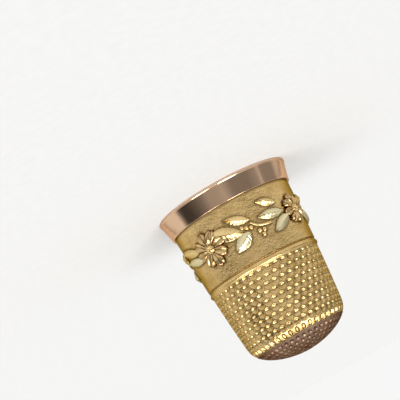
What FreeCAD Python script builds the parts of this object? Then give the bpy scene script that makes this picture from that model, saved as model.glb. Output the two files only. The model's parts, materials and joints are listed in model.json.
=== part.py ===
import FreeCAD, Part
import math
import os

# Lady's gold thimble with an applied garland, standing on its rim.
# Millimetres. +Z runs up the axis to the tip, z = 0 is the plane the rim stands on.
# Positions round the wall are angles: 0 degrees faces -Y and angles grow towards +X.

V = FreeCAD.Vector
UP = V(0, 0, 1)
ORIGIN = V(0, 0, 0)

# ---- rim band ----
RIM_FOOT_R = 8.95         # outer radius at the foot, before its edge is rounded to 8.9
RIM_TOP_R = 8.3           # outer radius at the top of the band
RIM_H = 2.62              # height of the band
RIM_LIP = 0.3             # thickness of the lip under the wall's lower edge
FOOT_ROUND = 0.18
MOUTH_ROUND = 0.12
TOP_ROUND = 0.08
MOUTH_R = 7.62            # finger hole, straight up to RIM_H

# ---- wall ----
SEAT_R = 8.2              # outer radius of the wall down inside the band
BORDER_FOOT_R = 8.04      # outer radius where the wall leaves the band
BORDER_TOP = 10.5         # height of the top of the matted border
BORDER_SLOPE = 0.069      # radius lost per millimetre of height
GROOVE_Z, GROOVE_HALF, GROOVE_DEPTH = 10.63, 0.13, 0.12
BEAD_Z, BEAD_HALF, BEAD_PROUD = 11.17, 0.31, 0.14
KNURL_FOOT = 11.48        # height where the pitted zone starts
KNURL_SLOPE = 0.093
KNURL_BULGE = 0.035       # how far the pitted zone swells outside a straight taper
WALL = 0.45               # thickness of the metal

# ---- domed end: a slightly flattened ellipse in section ----
DOME_R, DOME_RISE = 6.67, 3.41
DOME_Z = 19.02            # height where the dome's section starts to turn in
DOME_FLAT_R, DOME_FLAT_Z = 1.073, 1.053
SHOULDER_Z = 18.62        # end of the straight taper
SEAM_Z = 20.34            # joint between the wall and the end cap
TIP_Z = DOME_Z + DOME_RISE

# ---- pits ----
PIT_ROWS, PITS_PER_ROW = 10, 44
PIT_FIRST_Z, PIT_PITCH = 11.86, 0.902
PIT_R, PIT_DEPTH = 0.38, 0.18
CAP_RINGS, CAP_PITCH = 7, 0.83
CAP_PIT_R, CAP_PIT_DEPTH = 0.33, 0.15

# ---- applied garland: thicknesses measured out from the wall ----
PETAL_THICK = 0.52
LEAF_RIDGE, LEAF_EDGE, LEAF_MAX = 0.50, 0.14, 0.46
STEM_THICK, STEM_W = 0.30, 0.36
CENTRE_R, CENTRE_PROUD, CENTRE_BALL = 0.74, 0.76, 1.0
PETALS, PETAL_NOTCH = 8, 0.70
CUP_R, CUP_LIFT, CUP_AT = 0.88, 0.72, 0.70     # hollow of a petal: radius, lift, share of the reach
LEAF_TEETH, LEAF_NOTCH = 5, 0.80
BERRY_R, BERRY_SUNK = 0.28, 0.08
SHEET_R, SHEET_DEPTH = 9.4, 2.6                # outlines are drawn at this radius and pushed in this far

# Half the garland; the other half is the same turned 180 degrees.
# flower: angle, height, radius
FLOWERS = [(34, 6.5, 2.4), (-60, 6.6, 1.95)]
# leaf: angle and height of the base, angle and height of the tip, width
LEAVES = [
    (-4.5, 7.25, 11.5, 8.5, 1.6),
    (27, 5.3, 2.5, 6.75, 1.75),
    (-9, 5.8, 9.5, 4.6, 1.1),
    (-47, 7.1, -29.5, 8.4, 1.3),
    (-42, 6.45, -20, 6.1, 1.2),
    (-39, 5.15, -23.5, 4.3, 1.0),
    (47, 6.0, 76, 4.85, 1.15),
    (46.5, 7.1, 74, 6.35, 1.05),
    (106, 7.2, 83, 8.3, 1.5),
    (107, 5.9, 84, 4.9, 1.25),
]
# stem: points along its middle line, angle and height
STEMS = [
    [(-27, 7.2), (-20, 7.15), (-13, 6.75), (-9.5, 6.2)],
    [(78, 5.6), (84, 6.1), (93, 6.5), (104, 6.55)],
]
# berries: little groups, angle and height of each
BERRIES = [
    [(-8.1, 6.74), (-4.2, 6.55), (-0.4, 6.33)],
    [(-18.3, 7.66), (-13.9, 7.55), (-16.2, 8.14)],
]

os.makedirs("parts", exist_ok=True)


def dome_r(z, inset=0.0):
    """Radius of the dome's section at height z, or of the same section inset by the wall."""
    share = min(1.0, max(0.0, (z - DOME_Z) / (DOME_RISE - inset)))
    lean = math.asin(share ** (1 / DOME_FLAT_Z))
    return (DOME_R - inset) * math.cos(lean) ** DOME_FLAT_R


def wall_r(z):
    """Outer radius of the plain wall, without groove, bead or pits."""
    if z <= BORDER_TOP:
        return BORDER_FOOT_R - BORDER_SLOPE * (z - RIM_H)
    if z >= DOME_Z:
        return dome_r(z)
    up = max(0.0, (z - KNURL_FOOT) / (DOME_Z - KNURL_FOOT))
    return DOME_R + KNURL_SLOPE * (DOME_Z - z) + KNURL_BULGE * math.sin(math.pi * up)


def out_dir(angle):
    return V(math.sin(math.radians(angle)), -math.cos(math.radians(angle)), 0)


def side_dir(angle):
    return V(math.cos(math.radians(angle)), math.sin(math.radians(angle)), 0)


def line(p, q):
    return Part.LineSegment(V(p[0], 0, p[1]), V(q[0], 0, q[1])).toShape()


def arc(p, q, r):
    return Part.Arc(*[V(x, 0, z) for x, z in (p, q, r)]).toShape()


def spline(spots, first=None, last=None):
    """Smooth section through points given as (radius, height)."""
    curve = Part.BSplineCurve()
    points = [V(r, 0, z) for r, z in spots]
    if first and last:
        curve.interpolate(Points=points, InitialTangent=first, FinalTangent=last)
    else:
        curve.interpolate(points)
    return curve.toShape()


def wall_curve(z0, z1, steps, inset=0.0):
    """Section of the wall's outer (or inset) face between two heights."""
    heights = [z0 + (z1 - z0) * k / steps for k in range(steps + 1)]
    return spline([(dome_r(z, inset) if z > DOME_Z else wall_r(z) - inset, z) for z in heights])


def cap_curve(inset=0.0):
    """Section of the end cap's outer (or inset) face, flat at the tip."""
    top, steps = TIP_Z - inset, 8
    heights = [SEAM_Z + (top - SEAM_Z) * math.sin(math.pi / 2 * k / steps) for k in range(steps)]
    spots = [(dome_r(z, inset), z) for z in heights] + [(0, top)]
    first = V(spots[1][0] - spots[0][0], 0, spots[1][1] - spots[0][1]).normalize()
    return spline(spots, first, V(-1, 0, 0))


def turned(edges):
    """Solid of revolution from a closed chain of edges in the XZ plane."""
    wire = Part.Wire(Part.__sortEdges__(edges))
    solid = Part.Face(wire).revolve(ORIGIN, UP, 360)
    return solid if solid.Volume > 0 else solid.reversed()


def rounded(solid, z, r, radius):
    """Round the circular edge at height z and radius r."""
    hit = [e for e in solid.Edges
           if e.Length > 1 and all(abs(v.Z - z) < 1e-4 and abs(math.hypot(v.X, v.Y) - r) < 1e-4
                                   for v in e.Vertexes)]
    return solid.makeFillet(radius, hit)


def ball(centre, radius):
    return Part.makeSphere(radius, centre)


def pit(z, angle, radius, depth):
    """Cutting ball for one pit of the given mouth radius and depth."""
    r, step = wall_r(z), 0.01
    slope = (wall_r(z - step) - wall_r(z + step)) / (2 * step)
    normal = V(out_dir(angle))
    normal.z = slope
    normal.normalize()
    size = (radius ** 2 + depth ** 2) / (2 * depth)
    cutter = Part.makeSphere(size)
    side = side_dir(angle)
    cutter.Placement = FreeCAD.Placement(
        out_dir(angle) * r + UP * z + normal * (size - depth),
        FreeCAD.Rotation(normal, side, normal.cross(side), "XYZ"))
    return cutter


def ring_height(distance):
    """Height reached after walking the given distance down the dome from its tip."""
    z, walked, step = TIP_Z, 0.0, 0.002
    while walked < distance:
        walked += math.hypot(step, dome_r(z - step) - dome_r(z))
        z -= step
    return z


def layer(h0, h1):
    """Conical skin over the border between two distances out from the wall."""
    z0, z1 = 3.4, 10.3
    tall = z1 - z0
    outer = Part.makeCone(wall_r(z0) + h1, wall_r(z1) + h1, tall, UP * z0)
    inner = Part.makeCone(wall_r(z0) + h0, wall_r(z1) + h0, tall, UP * z0)
    return outer.cut(inner)


def prism(edges, angle):
    """Push a closed outline, drawn in the plane facing `angle`, in through the wall."""
    face = Part.Face(Part.Wire(Part.__sortEdges__(edges)))
    return face.extrude(out_dir(angle) * -SHEET_DEPTH)


def sheet_point(angle, s, z, radius=SHEET_R):
    return out_dir(angle) * radius + side_dir(angle) * s + UP * z


def polygon(points, angle):
    corners = [sheet_point(angle, s, z) for s, z in points]
    return Part.makePolygon(corners + corners[:1]).Edges


def flower_prism(angle, z, radius):
    """Scalloped outline of one flower, one arc for each petal."""
    edges = []
    for k in range(PETALS):
        spots = []
        for turn, reach in ((-0.5, PETAL_NOTCH), (0, 1.0), (0.5, PETAL_NOTCH)):
            a = 2 * math.pi * (k + 0.25 + turn) / PETALS
            spots.append(sheet_point(angle, radius * reach * math.cos(a), z + radius * reach * math.sin(a)))
        edges.append(Part.Arc(*spots).toShape())
    return prism(edges, angle)


def flower(angle, z, radius):
    """Ring of cupped petals with a round hole for the centre."""
    solid = flower_prism(angle, z, radius).common(layer(0, PETAL_THICK))
    hole = Part.makeCylinder(CENTRE_R, 4, out_dir(angle) * 6 + UP * z, out_dir(angle))
    surface = wall_r(z) + PETAL_THICK
    cups = []
    for k in range(PETALS):
        a = 2 * math.pi * (k + 0.25) / PETALS
        s, up = CUP_AT * radius * math.cos(a), CUP_AT * radius * math.sin(a)
        drop = s ** 2 / (2 * surface)
        cups.append(ball(sheet_point(angle, s, z + up, surface + CUP_LIFT - drop), CUP_R))
    return solid.cut(hole).cut(Part.Compound(cups))


def flower_centre(angle, z):
    """Domed boss filling the flower's middle."""
    stem = Part.makeCylinder(CENTRE_R, 4, out_dir(angle) * 6 + UP * z, out_dir(angle))
    dome = ball(sheet_point(angle, 0, z, wall_r(z) + CENTRE_PROUD - CENTRE_BALL), CENTRE_BALL)
    return stem.common(dome).common(layer(0, 2))


def leaf(angle0, z0, angle1, z1, width):
    """Saw-edged leaf folded along its midrib, hugging the wall."""
    angle, z = (angle0 + angle1) / 2, (z0 + z1) / 2
    run = 2 * wall_r(z) * math.sin(math.radians(angle1 - angle))
    rise = z1 - z0
    long = math.hypot(run, rise)
    cs, sn = run / long, rise / long

    def place(x, y):
        return (x * cs - y * sn, z + x * sn + y * cs)

    upper = []
    for k in range(LEAF_TEETH):
        for share, notch in ((k / LEAF_TEETH, LEAF_NOTCH), ((k + 0.72) / LEAF_TEETH, 1.0)):
            half = width / 2 * math.sin(math.pi * min(0.97, 0.10 + 0.87 * share) ** 0.85)
            upper.append((long * (share - 0.5), half * notch))
    outline = upper + [(long / 2, 0)] + [(x, -y) for x, y in reversed(upper)]
    blade = prism(polygon([place(x, y) for x, y in outline], angle), angle)
    base = wall_r(z)
    section = [(-width, base - 0.9), (-width, base + 2 * LEAF_EDGE - LEAF_RIDGE), (0, base + LEAF_RIDGE),
               (width, base + 2 * LEAF_EDGE - LEAF_RIDGE), (width, base - 0.9)]
    corners = []
    for y, r in section:
        s, up = place(-0.75 * long, y)
        corners.append(sheet_point(angle, s, up, r))
    along = side_dir(angle) * cs + UP * sn
    roof = Part.Face(Part.makePolygon(corners + corners[:1])).extrude(along * 1.5 * long)
    return blade.common(roof).common(layer(0, LEAF_MAX))


def stem(path):
    """Narrow curved strap laid along the wall."""
    angle = (path[0][0] + path[-1][0]) / 2
    middle = [V(wall_r(z) * math.sin(math.radians(a - angle)), z, 0) for a, z in path]
    curve = Part.BSplineCurve()
    curve.interpolate(middle)
    steps = 14
    left, right = [], []
    for k in range(steps + 1):
        u = curve.FirstParameter + (curve.LastParameter - curve.FirstParameter) * k / steps
        p, along = curve.value(u), curve.tangent(u)[0]
        across = V(-along.y, along.x, 0) * (STEM_W / 2 * (1 - 0.25 * k / steps))
        left.append((p.x + across.x, p.y + across.y))
        right.append((p.x - across.x, p.y - across.y))
    return prism(polygon(left + right[::-1], angle), angle).common(layer(0, STEM_THICK))


def berries(spots):
    """Group of little balls cut off flat where they sit on the wall."""
    group = []
    for angle, z in spots:
        normal = (out_dir(angle) + UP * BORDER_SLOPE).normalize()
        seat = out_dir(angle) * wall_r(z) + UP * z
        cut = -math.degrees(math.asin(BERRY_SUNK / BERRY_R))
        group.append(Part.makeSphere(BERRY_R, seat + normal * BERRY_SUNK, normal, cut, 90, 360))
    return Part.Compound(group)


def largest(shape):
    return max(shape.Solids, key=lambda s: s.Volume)


def save(name, shape):
    shape.exportStep("parts/%s.step" % name)


# ---- rim band: flared outside, lip under the wall ----
band = turned([
    line((MOUTH_R, 0), (RIM_FOOT_R, 0)),
    line((RIM_FOOT_R, 0), (RIM_TOP_R, RIM_H)),
    line((RIM_TOP_R, RIM_H), (BORDER_FOOT_R, RIM_H)),
    line((BORDER_FOOT_R, RIM_H), (SEAT_R, RIM_LIP)),
    line((SEAT_R, RIM_LIP), (MOUTH_R, RIM_LIP)),
    line((MOUTH_R, RIM_LIP), (MOUTH_R, 0)),
])
band = rounded(band, 0, RIM_FOOT_R, FOOT_ROUND)
band = rounded(band, 0, MOUTH_R, MOUTH_ROUND)
band = rounded(band, RIM_H, RIM_TOP_R, TOP_ROUND)
save("rim_band", band)

# ---- body: seat inside the band, matted border, groove, bead, knurled wall, shoulder ----
groove = [(wall_r(GROOVE_Z + d), GROOVE_Z + d) for d in (-GROOVE_HALF, 0, GROOVE_HALF)]
groove[1] = (groove[1][0] - GROOVE_DEPTH, GROOVE_Z)
bead = [(wall_r(BEAD_Z + d), BEAD_Z + d) for d in (-BEAD_HALF, 0, BEAD_HALF)]
bead[1] = (bead[1][0] + BEAD_PROUD, BEAD_Z)
inner_top = (wall_r(SHOULDER_Z) - WALL, SHOULDER_Z)
body = turned([
    line((MOUTH_R, RIM_LIP), (SEAT_R, RIM_LIP)),
    line((SEAT_R, RIM_LIP), (BORDER_FOOT_R, RIM_H)),
    line((BORDER_FOOT_R, RIM_H), groove[0]),
    arc(*groove),
    line(groove[2], bead[0]),
    arc(*bead),
    wall_curve(KNURL_FOOT, SHOULDER_Z, 5),
    wall_curve(SHOULDER_Z, SEAM_Z, 6),
    line((dome_r(SEAM_Z), SEAM_Z), (dome_r(SEAM_Z, WALL), SEAM_Z)),
    wall_curve(SHOULDER_Z, SEAM_Z, 6, WALL),
    line(inner_top, (MOUTH_R, RIM_H)),
    line((MOUTH_R, RIM_H), (MOUTH_R, RIM_LIP)),
])
wall_pits = [
    pit(PIT_FIRST_Z + row * PIT_PITCH, 360 * (k + 0.5 * (row % 2)) / PITS_PER_ROW, PIT_R, PIT_DEPTH)
    for row in range(PIT_ROWS) for k in range(PITS_PER_ROW)
]
save("body", body.cut(Part.Compound(wall_pits)))

# ---- end cap: pitted dome soldered on the wall ----
cap = turned([
    cap_curve(),
    line((0, TIP_Z), (0, TIP_Z - WALL)),
    cap_curve(WALL),
    line((dome_r(SEAM_Z, WALL), SEAM_Z), (dome_r(SEAM_Z), SEAM_Z)),
])
tip_ball = (CAP_PIT_R ** 2 + CAP_PIT_DEPTH ** 2) / (2 * CAP_PIT_DEPTH)
cap_pits = [ball(UP * (TIP_Z + tip_ball - CAP_PIT_DEPTH), tip_ball)]
for ring in range(1, CAP_RINGS + 1):
    height = ring_height(ring * CAP_PITCH)
    count = 6 * ring
    cap_pits += [pit(height, 360 * (k + 0.5 * (ring % 2)) / count, CAP_PIT_R, CAP_PIT_DEPTH)
                 for k in range(count)]
save("end_cap", cap.cut(Part.Compound(cap_pits)))

# ---- garland: two halves, leaves tucked against the flowers ----
flower_no = leaf_no = stem_no = berry_no = 0
for turn in (0, 180):
    blooms = []
    for angle, z, radius in FLOWERS:
        flower_no += 1
        save("flower_%d" % flower_no, largest(flower(angle + turn, z, radius)))
        save("flower_centre_%d" % flower_no, largest(flower_centre(angle + turn, z)))
        blooms.append(flower_prism(angle + turn, z, radius))
    # the first flower of this half and the last one of the other half both touch its leaves
    angle, z, radius = FLOWERS[1]
    blooms.append(flower_prism(angle + turn + 180, z, radius))
    for angle0, z0, angle1, z1, width in LEAVES:
        leaf_no += 1
        blade = leaf(angle0 + turn, z0, angle1 + turn, z1, width)
        for bloom in blooms:
            blade = largest(blade.cut(bloom))
        save("leaf_%02d" % leaf_no, blade)
    for path in STEMS:
        stem_no += 1
        strap = stem([(a + turn, z) for a, z in path])
        for bloom in blooms:
            strap = largest(strap.cut(bloom))
        save("stem_%d" % stem_no, strap)
    for spots in BERRIES:
        berry_no += 1
        save("berries_%d" % berry_no, berries([(a + turn, z) for a, z in spots]))
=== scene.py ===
import json
import math

import bmesh
import bpy
from bpy.props import FloatProperty, FloatVectorProperty, IntProperty, PointerProperty
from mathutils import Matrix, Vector
from mathutils.kdtree import KDTree

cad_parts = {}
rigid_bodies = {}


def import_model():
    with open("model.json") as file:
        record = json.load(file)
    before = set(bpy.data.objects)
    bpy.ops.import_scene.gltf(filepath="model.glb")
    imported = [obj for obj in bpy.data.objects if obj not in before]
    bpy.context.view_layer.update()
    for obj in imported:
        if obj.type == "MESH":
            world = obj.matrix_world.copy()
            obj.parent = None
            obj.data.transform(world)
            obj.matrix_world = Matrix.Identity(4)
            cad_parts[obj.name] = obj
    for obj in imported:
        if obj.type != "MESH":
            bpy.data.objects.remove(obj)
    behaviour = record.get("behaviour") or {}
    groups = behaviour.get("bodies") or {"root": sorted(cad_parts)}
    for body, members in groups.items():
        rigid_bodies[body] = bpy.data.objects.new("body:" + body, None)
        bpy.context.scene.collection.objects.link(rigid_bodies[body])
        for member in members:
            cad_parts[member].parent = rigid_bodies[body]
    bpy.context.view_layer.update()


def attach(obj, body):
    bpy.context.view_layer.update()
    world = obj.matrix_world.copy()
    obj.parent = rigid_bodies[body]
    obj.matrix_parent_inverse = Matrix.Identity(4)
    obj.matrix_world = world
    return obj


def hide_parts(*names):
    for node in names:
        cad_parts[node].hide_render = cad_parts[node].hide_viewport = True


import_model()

bl_info = {
    "name": "Gold Thimble",
    "version": (1, 0, 0),
    "blender": (4, 5, 0),
    "location": "View3D > Sidebar > Thimble",
    "description": "Models a lady's gold thimble with a pitted wall and an applied garland",
    "category": "Object",
}

MM = 0.001
FULL_TURN = 2 * math.pi
NEAR = 0.01 * MM          # clear of a height by this much counts as above or below it
LEVEL = 0.001 * MM        # heights closer than this are level
CUT_WIDTH = 1e-7          # vertices this close to a cutting plane are on it

# Section of the thimble: radii and heights in millimetres.
RIM_TOP = 2.62
BORDER_FOOT_RADIUS, BORDER_SLOPE, BORDER_TOP = 8.04, 0.069, 10.5
GROOVE_TOP, GROOVE_TOP_INSET, GROOVE_DEPTH = 10.76, 0.039, 0.15
BEAD_FOOT, BEAD_FOOT_INSET, BEAD_TOP, BEAD_PROUD = 10.86, 0.048, 11.42, 0.15
KNURL_FOOT, KNURL_SLOPE, KNURL_BULGE = 11.48, 0.093, 0.035
TRIM_HEIGHT = 11.44       # where the pitted mesh is cut off, just above the bead
SHOULDER, SHOULDER_IN, SHOULDER_TOP = 18.62, 19.2, 19.8
STEP_IN = 1.4             # a ring of vertices part way up the mouth
DOME_FOOT, DOME_RADIUS, DOME_RISE = 19.02, 6.67, 3.41
DOME_RADIUS_POWER, DOME_RISE_POWER = 1.073, 1.053
TIP = 22.43
SEAT_RADIUS, LIP_TOP = 8.2, 0.3   # the wall's foot, standing on the lip inside the rim band
CAP_INSIDE = (20.8, 21.2, 21.5, 21.74, 21.88, 21.95)
WELD = 0.004 * MM         # vertices closer than this are joined

# The matted part of the border: heights, a radius inside it, and the size of its grain, in millimetres.
MATTING_LOW, MATTING_HIGH, MATTING_INSIDE, MATTING_SIZE = 2.8, 10.3, 7.47, 0.26

# Pits: how much of each edge a pit takes, the reach of a middle, and each step down:
# its width in millimetres and its share of the depth. The first step's width is the soft edge.
WALL_PIT_PERCENT, CAP_PIT_PERCENT, PIT_REACH = 48, 43, 0.16
WALL_PIT_EDGE, CAP_PIT_EDGE, EDGE_SHARE = 0.03, 0.04, 0.08
PIT_STEPS = ((0.12, 0.54), (0.13, 0.38))
CAP_PIT_SHARE, CAP_PIT_RADIUS = 0.8, 0.33

# Rounded corners of the rim band: at the top how far in and how far down, at the foot how far in and
# how high, at the mouth how far out and how high.
RIM_TOP_ROUND = ((0.08, 0.0), (0.035, 0.012), (0.008, 0.045), (0.0, 0.10))
RIM_FOOT_ROUND = ((0.075, 0.36), (0.055, 0.335), (0.02, 0.30), (0.0, 0.22), (0.0, 0.13), (0.025, 0.055),
                  (0.075, 0.015), (0.15, 0.0))
RIM_MOUTH_ROUND = ((0.12, 0.0), (0.05, 0.02), (0.01, 0.06), (0.0, 0.12))
RIM_SEAT_RADIUS, RIM_HOLLOW, RIM_SEGMENTS = 8.12, 0.02, 192

# Half of the garland; the other half is the same turned 180 degrees.
# Angles are degrees round the wall: 0 faces -Y, growing towards +X. Heights and widths are millimetres.
# A flower is its angle, height and radius; a leaf its base's angle and height, its tip's, and its width;
# a stem the points along it; and berries one point each.
FLOWERS = [(34, 6.5, 2.4), (-60, 6.6, 1.95)]
LEAVES = [
    (-4.5, 7.25, 11.5, 8.5, 1.6),
    (27, 5.3, 2.5, 6.75, 1.75),
    (-9, 5.8, 9.5, 4.6, 1.1),
    (-47, 7.1, -29.5, 8.4, 1.3),
    (-42, 6.45, -20, 6.1, 1.2),
    (-39, 5.15, -23.5, 4.3, 1.0),
    (47, 6.0, 76, 4.85, 1.15),
    (46.5, 7.1, 74, 6.35, 1.05),
    (106, 7.2, 83, 8.3, 1.5),
    (107, 5.9, 84, 4.9, 1.25),
]
PALE_LEAVES = (1, 4, 5, 8, 9)         # the ones in green gold, counted from 1
STEMS = [
    [(-27, 7.2), (-20, 7.15), (-13, 6.75), (-9.5, 6.2)],
    [(78, 5.6), (84, 6.1), (93, 6.5), (104, 6.55)],
]
BERRIES = [
    [(-8.1, 6.74), (-4.2, 6.55), (-0.4, 6.33)],
    [(-18.3, 7.66), (-13.9, 7.55), (-16.2, 8.14)],
]
SHEET = 0.2                           # thickness that leaves and petals are cut from
GARLAND_NAMES = ("Flower_", "Leaf_", "Stem_", "Berries_")
GARLAND_TURNS = (0, 180)              # degrees each half is turned by

# A leaf one millimetre long and wide: its ridge, its veins and its saw edge, and how it is scaled.
LEAF_RISE, LEAF_EDGE_DROP = 0.30, 0.04
VEIN_SLANT, VEIN_DEPTH = 0.14, 0.15
NOTCH_WIDTH, TOOTH_LEAN = 0.80, 0.03
LEAF_SCALE = (1.06, 1.22, 1.15)       # shares of the length and the width, and of the master's thickness

# A petal's half width and rise at each column, root to tip, and its rise at each row, edge to middle.
PETALS, PETAL_START, PETAL_WIDTH, PETAL_NOTCH = 8, 0.42, 0.56, 0.10
PETAL_HALVES = (0.34, 0.46, 0.64, 0.82, 0.95, 1.0, 0.86, 0.46)
PETAL_RISES = (0.0, 0.08, 0.16, 0.20, 0.20, 0.17, 0.10, 0.0)
PETAL_ROWS = (-0.10, 0.10, 0.02, -0.14)

# Flower centre: the dome and the grains set over it.
BOSS_RADIUS, BOSS_FLATNESS = 0.68, 0.92
GRAINS, GRAIN_RADIUS, GRAIN_FLATNESS = 34, 0.105, 0.9
GRAIN_ORBIT, GRAIN_TOP, GRAIN_SPREAD = 0.67, 0.61, 0.86

BERRY_RADIUS, BERRY_CUT, BERRY_LIFT = 0.31, 0.06, 0.05
BERRY_FLAT_FROM, BERRY_FLAT_DROP = 0.30, 0.09
STEM_RADIUS, STEM_OUT, STEM_TAPER = 0.20, 0.06, 0.35

# Painted shade in the corner between the wall and the rim band, in millimetres.
CORNER_TOP, CORNER_FADE = 3.4, 0.42

# Painted shade on the wall round the applied pieces and along the rim band: how strong it is right against
# a piece, where it stops growing, and how fast it fades.
BORDER_SHADE_START, BORDER_SHADE_MOST, BORDER_SHADE_FADE = 3.0, 2.2, 0.11
TOUCHING = 0.14           # garland vertices this close to the wall cast painted shade on it

# The golds: which colour setting, the tarnish, roughness, grain size and depth, signs of wear, and how dark
# their painted shade is.
GOLDS = {
    "Yellow gold": {
        "tint": "yellow", "tarnish": (0.46, 0.29, 0.09), "rough": 0.24, "grain": 0.20,
        "grain_depth": 0.012, "shade_strength": 0.30, "mottle": 0.28},
    # The end cap's gold: tarnished, and painted darker than the rim band's rose gold as a painted
    # reflection of dark surroundings.
    "Worn rose gold": {
        "tint": "rose_worn_shaded", "tarnish": (0.22, 0.12, 0.07), "rough": 0.34, "grain": 0.20,
        "grain_depth": 0.014, "shade_strength": 0.8, "scratch": 0.01, "mottle": 0.35},
    "Polished rose gold": {
        "tint": "rose", "tarnish": (0.80, 0.48, 0.31), "rough": 0.11, "grain": 0.5,
        "grain_depth": 0.0, "scratch": 0.004, "mottle": 0.12, "edge": 0.85},
    "Rosy applied gold": {
        "tint": "rose_petal", "tarnish": (0.42, 0.25, 0.10), "rough": 0.17, "grain": 0.20,
        "grain_depth": 0.006, "shade_strength": 0.92, "mottle": 0.25, "edge": 0.6},
    "Pale applied gold": {
        "tint": "green", "tarnish": (0.52, 0.42, 0.20), "rough": 0.22, "grain": 0.25,
        "grain_depth": 0.005, "shade_strength": 0.70, "mottle": 0.12, "edge": 0.7},
    # Applied yellow gold: the wall's yellow gold painted lighter, as painted light on the raised pieces.
    "Bright applied gold": {
        "tint": "yellow_applied", "tarnish": (0.50, 0.33, 0.11), "rough": 0.18, "grain": 0.22,
        "grain_depth": 0.006, "shade_strength": 0.75, "mottle": 0.14, "edge": 0.6},
}

# Signs of wear and painted shade that all the golds share; sizes are in millimetres.
PATCH_SIZE = 1.7                                    # patches of deeper tone
HAZE_SIZE, HAZE_LEAST, HAZE_MOST = 0.9, 0.75, 1.3   # how far the roughness wanders
SCRATCH_SIZE, SCRATCH_TURN, SCRATCH_STRETCH = 1.4, (0.35, 0.2, 0.5), (1.0, 1.0, 14.0)
SHADE_SHARE = 0.32                                   # the painted shade's brightness, as a share of the tarnish
SHADE_START, SHADE_FULL, SHADE_GAIN = 0.15, 2.5, 2.7   # how the hollow attribute turns into painted shade
EDGE_LEAST = 0.06                                   # what is left of the glare at a grazing angle

# Brightness of the room round the thimble: degrees from straight in front, positive towards +X.
ROOM = ((-180, 0.62), (-118, 0.66), (-108, 0.30), (-86, 0.30), (-80, 0.32), (-76, 0.62), (-70, 0.36),
        (-50, 0.24), (-20, 0.25), (-4, 0.50), (8, 0.42), (24, 0.40), (36, 0.22), (48, 0.13), (62, 0.06),
        (78, 0.05), (84, 0.20), (92, 0.85), (180, 0.90))
ROOM_TINT = (1, 0.99, 0.97)
SKIRTING_COLOUR, SKIRTING_TOP = (0.34, 0.33, 0.32, 1), 0.05
CEILING_COLOUR, CEILING_LOW, CEILING_HIGH = (0.80, 0.80, 0.78, 1), 0.42, 0.62
BACKDROP_COLOUR = (0.93, 0.93, 0.925, 1)
PAPER_DARK, PAPER_LIGHT = (0.57, 0.568, 0.562, 1), (0.62, 0.618, 0.612, 1)
FLOOR_RADIUS = 1.2
# name, degrees round, degrees up, strength, spread in degrees
SUNS = (("Key", -24, 50, 1.6, 28), ("Fill", 40, 48, 1.0, 28))


# ---------------------------------------------------------------- settings

class ThimbleSizes(bpy.types.PropertyGroup):
    """Sizes of the wall, the end cap and the rim band."""

    rim_foot_radius: FloatProperty(
        name="Rim foot radius", description="Outer radius where the rim stands",
        default=8.895 * MM, unit="LENGTH", precision=5)
    rim_top_radius: FloatProperty(
        name="Rim top radius", description="Outer radius at the top of the rim band",
        default=8.3 * MM, unit="LENGTH", precision=5)
    rim_height: FloatProperty(
        name="Rim height", description="Height of the rim band",
        default=RIM_TOP * MM, unit="LENGTH", precision=5)
    mouth_radius: FloatProperty(
        name="Mouth radius", description="Radius of the finger hole",
        default=7.62 * MM, unit="LENGTH", precision=5)
    seam_height: FloatProperty(
        name="Seam height", description="Height of the joint between the wall and the end cap",
        default=20.34 * MM, unit="LENGTH", precision=5)
    metal: FloatProperty(
        name="Metal thickness", description="Thickness of the wall and of the end cap",
        default=0.45 * MM, unit="LENGTH", precision=5)
    pits_per_row: IntProperty(
        name="Pits per row", description="Pits round the wall in each row", default=44, min=12)
    pit_rows: IntProperty(
        name="Pit rows", description="Rows of pits up the wall", default=10, min=2)
    first_row: FloatProperty(
        name="First row", description="Height of the lowest row of pits",
        default=11.86 * MM, unit="LENGTH", precision=5)
    row_pitch: FloatProperty(
        name="Row pitch", description="Height between rows of pits",
        default=0.902 * MM, unit="LENGTH", precision=5)
    cap_rings: IntProperty(
        name="Cap rings", description="Rings of pits round the middle pit of the end cap", default=7, min=2)
    cap_pitch: FloatProperty(
        name="Cap pitch", description="Distance between rings of pits on the end cap",
        default=0.83 * MM, unit="LENGTH", precision=5)
    pit_depth: FloatProperty(
        name="Pit depth", description="Depth of a pit",
        default=0.20 * MM, unit="LENGTH", precision=5)
    matting: FloatProperty(
        name="Matting depth", description="Depth of the punched grain on the border",
        default=0.022 * MM, unit="LENGTH", precision=5)


class GoldColours(bpy.types.PropertyGroup):
    """Colours of the three golds."""

    yellow: FloatVectorProperty(
        name="Yellow gold", description="Colour of the wall", subtype="COLOR", size=3,
        default=(0.81, 0.58, 0.265), min=0, max=1)
    # Lighter than the wall's yellow gold: painted light on the raised pieces.
    yellow_applied: FloatVectorProperty(
        name="Applied yellow gold", description="Colour of the yellow leaves, stems and berries",
        subtype="COLOR", size=3, default=(0.91, 0.69, 0.34), min=0, max=1)
    rose: FloatVectorProperty(
        name="Rose gold", description="Colour of the rim band and the end cap", subtype="COLOR", size=3,
        default=(0.80, 0.56, 0.38), min=0, max=1)
    # Darker than the rim band's rose gold: partly tarnish, partly a painted reflection of dark
    # surroundings.
    rose_worn_shaded: FloatVectorProperty(
        name="Worn rose gold", description="Colour of the end cap", subtype="COLOR", size=3,
        default=(0.38, 0.265, 0.19), min=0, max=1)
    rose_petal: FloatVectorProperty(
        name="Petal gold", description="Colour of the flowers", subtype="COLOR", size=3,
        default=(0.82, 0.605, 0.305), min=0, max=1)
    green: FloatVectorProperty(
        name="Green gold", description="Colour of the paler leaves", subtype="COLOR", size=3,
        default=(0.86, 0.765, 0.48), min=0, max=1)


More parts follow.
